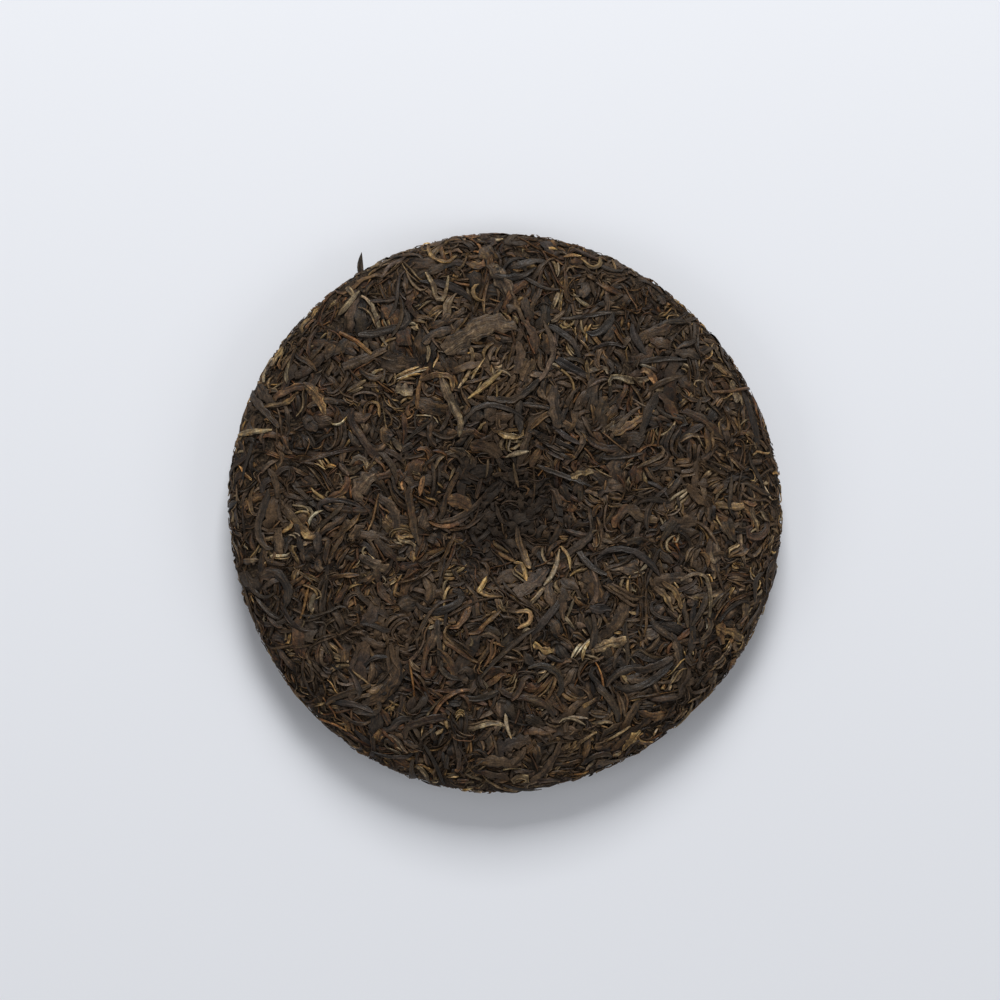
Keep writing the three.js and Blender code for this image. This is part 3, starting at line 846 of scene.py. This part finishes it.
def leaf_skin_group():
    """What every leaf shares: fibres, folds and wrinkles along it that carry painted light on their ridges
    and painted shade in their hollows, stains, dust, a painted highlight on its crests and painted shade in
    its creases, edges lighter partly from wear and partly as a painted highlight and darker with painted
    shade between leaves, its own hue, painted shade, darker and redder, where it lies deep or in the hollow,
    and the patches where leaves are crushed into one brown mat."""
    group, tree, given = node_group("leaf_skin", "ShaderNodeTree", SKIN_INPUTS, SKIN_OUTPUTS)
    grain, place = given["Grain"], given["Place"]
    fibre = tree.noise(tree.vector("MULTIPLY", grain, (0.16, 2.3, 1.0)), 1.0, 4.0, roughness=0.68)
    fold = tree.noise(tree.vector("MULTIPLY", grain, (0.12, 0.95, 1.0)), 1.0, 1.0, distortion=0.6)
    wrinkle = tree.noise(tree.vector("MULTIPLY", grain, (0.8, 1.1, 1.0)), 1.0, 3.0, roughness=0.6)
    edge_wear_and_shade_noise = tree.noise(grain, 0.5, 1.0)
    stain = tree.noise(place, 420.0, 4.0, roughness=0.65)
    dust = tree.noise(place, 1700.0, 3.0)
    region = tree.noise(place, 30.0, 1.0)
    patch = tree.noise(place, 70.0, 3.0, roughness=0.6)

    fibre_light = tree.spread(fibre, 0.32, 0.68, -1.0, 1.0)
    fibre_light = tree.math("MULTIPLY_ADD", fibre_light, given["Fibre contrast"], 1.0)
    # Fibres are partly the leaf's own lines and partly painted highlight; wrinkles and folds follow the
    # bump, with painted light on their ridges and painted shade in their hollows.
    along_light = tree.times(
        fibre_light, tree.spread(wrinkle, 0.35, 0.65, 0.8, 1.2), tree.spread(fold, 0.34, 0.6, 0.66, 1.34)
    )
    stain_light = tree.spread(stain, 0.35, 0.65, 0.7, 1.3)
    # Painted highlight on the leaf's crests and painted shade in its creases.
    painted_crest_light_and_shade = tree.spread(given["Crest"], 0.15, 1.15, 0.56, 1.42)
    # Painted shade on leaves that lie deep under others and in the hollow.
    painted_depth_shade = tree.spread(given["Sunk"], 0.05, 0.8, 1.0, 0.27)
    # Edges are lighter partly from wear and partly as a painted highlight, and darker with painted shade
    # standing for the gaps between leaves.
    edge_share = tree.spread(given["Edge"], 0.6, 1.0, 0.0, 1.0)
    edge_wear_and_shade = tree.spread(edge_wear_and_shade_noise, 0.4, 0.6, -0.7, 0.85)
    edge_light = tree.math("MULTIPLY_ADD", edge_share, edge_wear_and_shade, 1.0)
    dust_light = tree.spread(dust, 0.35, 0.65, 0.68, 1.34)
    region_light = tree.spread(region, 0.3, 0.7, 0.84, 1.16)
    light = tree.times(along_light, stain_light, painted_crest_light_and_shade, painted_depth_shade, edge_light)
    light = tree.times(light, dust_light, region_light)

    leaf_seed = tree.add("ShaderNodeSeparateXYZ", {"Vector": grain}).outputs["Z"]
    chance = tree.first("ShaderNodeTexWhiteNoise", {"W": leaf_seed}, noise_dimensions="1D")
    region_hue = tree.spread(region, 0.3, 0.7, -0.15, 0.15)
    stain_hue = tree.spread(stain, 0.3, 0.7, -0.2, 0.2)
    hue = tree.math("MULTIPLY_ADD", chance, 0.9, 0.02)
    hue = tree.math("ADD", hue, tree.math("ADD", region_hue, stain_hue))
    hued = tree.vector("MULTIPLY", given["Base"], tree.ramp(hue, LEAF_HUES))
    hued = tree.vector("MULTIPLY", hued, tree.ramp(given["Sunk"], DEPTH_SHADE_HUES))
    own_colour = tree.vector("SCALE", hued, scale=light)

    in_patch = tree.spread(patch, 0.5, 0.6, 0.0, 1.0)
    level_place = tree.vector("MULTIPLY", place, (1.0, 1.0, 0.0))
    reach = tree.add("ShaderNodeVectorMath", {0: level_place}, operation="LENGTH").outputs["Value"]
    reach = tree.math("MULTIPLY_ADD", patch, 0.4 * HOLLOW_RADIUS * MM, reach)
    in_hollow = tree.spread(reach, 0.6 * HOLLOW_RADIUS * MM, HOLLOW_RADIUS * MM, 1.0, 0.0)
    matted = tree.times(tree.math("MAXIMUM", in_patch, in_hollow), given["Matting"])
    # The mat takes the same painted shade of depth.
    mat_light = tree.times(stain_light, dust_light, painted_depth_shade)
    mat_colour = tree.vector("SCALE", tree.ramp(region, MAT_COLOURS), scale=mat_light)
    towards_mat = tree.vector("SCALE", tree.vector("SUBTRACT", mat_colour, own_colour), scale=matted)
    colour = tree.vector("ADD", own_colour, towards_mat)

    height = tree.math("MULTIPLY_ADD", fibre, 0.6, tree.times(wrinkle, 0.8))
    height = tree.math("MULTIPLY_ADD", fold, 1.4, height)
    rough = tree.math("ADD", given["Roughness"], tree.spread(wrinkle, 0.35, 0.65, -0.12, 0.14))
    rough = tree.math("MULTIPLY_ADD", given["Sunk"], 0.4, rough)
    tree.add("NodeGroupOutput", {"Colour": colour, "Roughness": rough, "Height": height})
    return group


def new_material(name):
    """A material, its shader and its tree."""
    material = bpy.data.materials.new(name)
    material.use_nodes = True
    return material, material.node_tree.nodes["Principled BSDF"], Tree(material.node_tree)


def leaf_finish(skin, name, tones, roughness, gloss, contrast, mottling, matting):
    """Dry leaf whose colour follows the leaf's tone."""
    material, shader, tree = new_material(name)

    def stored(label, output="Fac"):
        return tree.add("ShaderNodeAttribute", attribute_name=label).outputs[output]

    grain = stored("grain", "Vector")
    blotch = tree.noise(grain, 0.45, 3.0, roughness=0.55)
    blotched = tree.math("ADD", stored("tone"), tree.spread(blotch, 0.33, 0.67, -mottling, mottling))
    given = {
        "Base": tree.ramp(blotched, tones),
        "Grain": grain,
        "Place": tree.add("ShaderNodeTexCoord").outputs["Object"],
        "Crest": stored("crest"),
        "Edge": stored("edge"),
        "Sunk": stored("sunk"),
        "Fibre contrast": contrast,
        "Matting": matting,
        "Roughness": roughness,
    }
    marks = tree.add("ShaderNodeGroup", given, node_tree=skin).outputs
    bump = tree.bump(marks["Height"], 0.8, 0.35 * MM)
    tree.feed(shader, {"Base Color": marks["Colour"], "Roughness": marks["Roughness"]})
    tree.feed(shader, {"Normal": bump, "Specular IOR Level": gloss})
    return material


# The core, in millimetres: how far it lies below the skin, on the whole and at its two middles, how
# high its bumps are, and the share of its depth that it loses at the rim
CORE_DEPTH = 2.6
CORE_END_DEPTH = 2.0
CORE_BUMPS = 0.7
SHALLOWER_AT_RIM = 0.34


def core_piece(finish):
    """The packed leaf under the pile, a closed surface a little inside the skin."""
    rings, turns = 120, 240
    walked = np.linspace(0, SKIN.length, rings + 1)[1:-1]
    angle = np.linspace(0, 2 * math.pi, turns, endpoint=False)
    reach, round_ = np.meshgrid(walked, angle, indexing="ij")
    x, y = reach * np.cos(round_), reach * np.sin(round_)
    ends, _ = SKIN.place(np.array([0.0, SKIN.length]), np.zeros(2), np.full(2, -CORE_END_DEPTH))
    east, north, high = np.moveaxis(SKIN.place(x, y, np.zeros_like(x))[0], -1, 0)
    bumps = hills(east + 3 * high, north, 1.7, 21) + hills(east, north + 3 * high, 0.9, 22)
    at_rim = smooth_share(np.hypot(east, north), 0.97 * CAKE_RADIUS, 0.997 * CAKE_RADIUS)
    points, _ = SKIN.place(x, y, (CORE_BUMPS * bumps - CORE_DEPTH) * (1 - SHALLOWER_AT_RIM * at_rim))
    vertices = np.concatenate([points.reshape(-1, 3), ends]) * MM
    grid = np.arange((rings - 1) * turns).reshape(rings - 1, turns)
    after = np.roll(grid, -1, axis=1)
    quads = np.stack([grid[:-1], grid[1:], after[1:], after[:-1]], -1).reshape(-1, 4)
    top, bottom = grid.size, grid.size + 1
    first = [(top, int(a), int(b)) for a, b in zip(grid[0], after[0])]
    last = [(bottom, int(b), int(a)) for a, b in zip(grid[-1], after[-1])]
    mesh = bpy.data.meshes.new("packed_core")
    mesh.from_pydata(vertices.tolist(), [], quads.tolist() + first + last)
    mesh.polygons.foreach_set("use_smooth", [True] * len(mesh.polygons))
    mesh.materials.append(finish)
    mesh.update()
    return in_scene("packed_core", mesh)


CORE_COLOURS = (
    (0.36, 0.006, 0.004, 0.002),
    (0.48, 0.022, 0.014, 0.008),
    (0.56, 0.052, 0.034, 0.019),
    (0.66, 0.085, 0.058, 0.034),
)


def core_finish():
    """Dark, dusty shreds of leaf pressed together, with no shapes of their own."""
    material, shader, tree = new_material("packed_core")
    place = tree.add("ShaderNodeTexCoord").outputs["Object"]
    speckle = tree.noise(place, 900.0, 5.0)
    shreds = tree.noise(tree.vector("MULTIPLY", place, (1.0, 1.0, 0.35)), 420.0, 4.0, distortion=2.5)
    mixed = tree.math("MULTIPLY_ADD", speckle, 0.4, tree.times(shreds, 0.6))
    bump = tree.bump(mixed, 1.0, 1.6 * MM)
    tree.feed(shader, {"Base Color": tree.ramp(mixed, CORE_COLOURS), "Normal": bump})
    tree.feed(shader, {"Roughness": 0.85, "Specular IOR Level": 0.2})
    return material


# Leaf colours, each at the tone where leaves have it
LEAF_TONES = (
    (0.0, 0.0190, 0.0135, 0.0098),
    (0.25, 0.0275, 0.0185, 0.0125),
    (0.42, 0.0420, 0.0250, 0.0145),
    (0.60, 0.0610, 0.0370, 0.0205),
    (0.76, 0.0820, 0.0520, 0.0300),
    (0.88, 0.1050, 0.0740, 0.0450),
    (0.95, 0.1450, 0.0900, 0.0420),
    (1.0, 0.2000, 0.1450, 0.0850),
)
TIP_TONES = (
    (0.0, 0.060, 0.036, 0.018),
    (0.4, 0.110, 0.076, 0.043),
    (0.7, 0.175, 0.132, 0.082),
    (0.85, 0.215, 0.132, 0.056),
    (1.0, 0.320, 0.265, 0.185),
)
STEM_TONES = (
    (0.0, 0.032, 0.016, 0.008),
    (0.4, 0.070, 0.034, 0.015),
    (0.75, 0.125, 0.068, 0.030),
    (1.0, 0.200, 0.142, 0.078),
)

# Finishes by kind: the name, the colours, then how rough, how glossy, how marked by fibres, how blotched
# and how matted the leaves are
FINISHES = {
    "dark": ("dark_leaf", LEAF_TONES, 0.42, 0.3, 0.6, 0.12, 0.1),
    "rolled": ("rolled_leaf", LEAF_TONES, 0.42, 0.26, 0.6, 0.2, 0.6),
    "folded": ("folded_leaf", LEAF_TONES, 0.44, 0.26, 0.55, 0.22, 0.7),
    "blade": ("flat_leaf", LEAF_TONES, 0.46, 0.24, 0.55, 0.24, 0.75),
    "flake": ("broken_leaf", LEAF_TONES, 0.5, 0.2, 0.5, 0.22, 0.75),
    "tip": ("leaf_tip", TIP_TONES, 0.46, 0.24, 0.5, 0.15, 0.2),
    "stem": ("leaf_stem", STEM_TONES, 0.46, 0.24, 0.4, 0.15, 0.3),
    "thread": ("leaf_shred", LEAF_TONES, 0.46, 0.24, 0.4, 0.15, 0.45),
}
LEAVES_A_PIECE = 1750


def leaf_pieces():
    """All the leaves, in pieces by kind and by face."""
    sections = {name: section_object(name) for name in SECTIONS}
    sweep = sweep_tree()
    skin = leaf_skin_group()
    finishes = {kind: leaf_finish(skin, *values) for kind, values in FINISHES.items()}
    tip_shape = sections["creased"], 1.0, finishes["rolled"]
    pieces = [swept_piece("loose_tip", [loose_tip_stations()], sweep, *tip_shape)]
    for face, leaves in (("shown", shown_leaves()), ("resting", resting_leaves())):
        for kind, rule in KINDS.items():
            chosen = [leaf for leaf in leaves if leaf["kind"] == kind]
            shape = sections[rule["section"]], rule["creasing"], finishes[kind]
            for part in range(0, len(chosen), LEAVES_A_PIECE):
                some = chosen[part : part + LEAVES_A_PIECE]
                stations = [leaf_stations(leaf, number) for number, leaf in enumerate(some, part)]
                name = f"{kind}_{face}_{part // LEAVES_A_PIECE + 1}"
                pieces.append(swept_piece(name, stations, sweep, *shape))
    for section in sections.values():
        bpy.data.objects.remove(section)
    return pieces


# The floor and the lights, in metres and watts. A lamp has a name, a place, a size and a power.
FLOOR_REACH = 4
ROOM_LIGHT = 0.27
LAMPS = (
    ("softbox_above", (0.0, 1.6, 1.3), 0.9, 37),
    ("softbox_left", (-1.5, -0.5, 1.2), 0.9, 6),
    ("softbox_right", (1.5, -0.5, 1.2), 0.9, 6),
)


def floor_and_lights():
    """A pale floor, the light of a soft room and the lamps, each turned to the cake."""
    mesh = bpy.data.meshes.new("floor")
    corners = [(FLOOR_REACH * x, FLOOR_REACH * y, 0) for x, y in ((-1, -1), (1, -1), (1, 1), (-1, 1))]
    mesh.from_pydata(corners, [], [(0, 1, 2, 3)])
    floor = in_scene("floor", mesh)
    material, shader, tree = new_material("pale_floor")
    tree.feed(shader, {"Base Color": (0.80, 0.82, 0.86, 1), "Roughness": 0.6})
    mesh.materials.append(material)
    world = bpy.data.worlds.new("soft_room")
    bpy.context.scene.world = world
    world.use_nodes = True
    background = world.node_tree.nodes["Background"].inputs
    background["Color"].default_value = (0.95, 0.96, 1.0, 1)
    background["Strength"].default_value = ROOM_LIGHT
    for name, place, size, power in LAMPS:
        data = bpy.data.lights.new(name, "AREA")
        data.size = size
        data.energy = power
        lamp = in_scene(name, data)
        lamp.location = place
        lamp.rotation_euler = (-Vector(place)).to_track_quat("-Z", "Y").to_euler()


def camera():
    """Looks down on the cake as the photograph looks at it."""
    distance, across_frame = 1.1, 0.3577
    aim = Vector((-1.6 * MM, 4.0 * MM, 12 * MM))
    lean_left, lean_down = math.radians(3.0), math.radians(2.5)
    back = Vector((-math.sin(lean_left), -math.sin(lean_down), 1)).normalized()
    data = bpy.data.cameras.new("camera")
    data.lens = data.sensor_width * distance / across_frame
    cam = in_scene("camera", data)
    cam.location = aim + back * distance
    right = Vector((0, 1, 0)).cross(back).normalized()
    cam.rotation_euler = Matrix((right, back.cross(right), back)).transposed().to_euler()
    bpy.context.scene.camera = cam
    bpy.context.scene.view_settings.view_transform = "Standard"


camera()
floor_and_lights()
core = core_piece(core_finish())
leaves = leaf_pieces()
for piece in [core, *leaves]:
    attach(piece, CAKE_BODY)
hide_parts(CAKE_NODE)
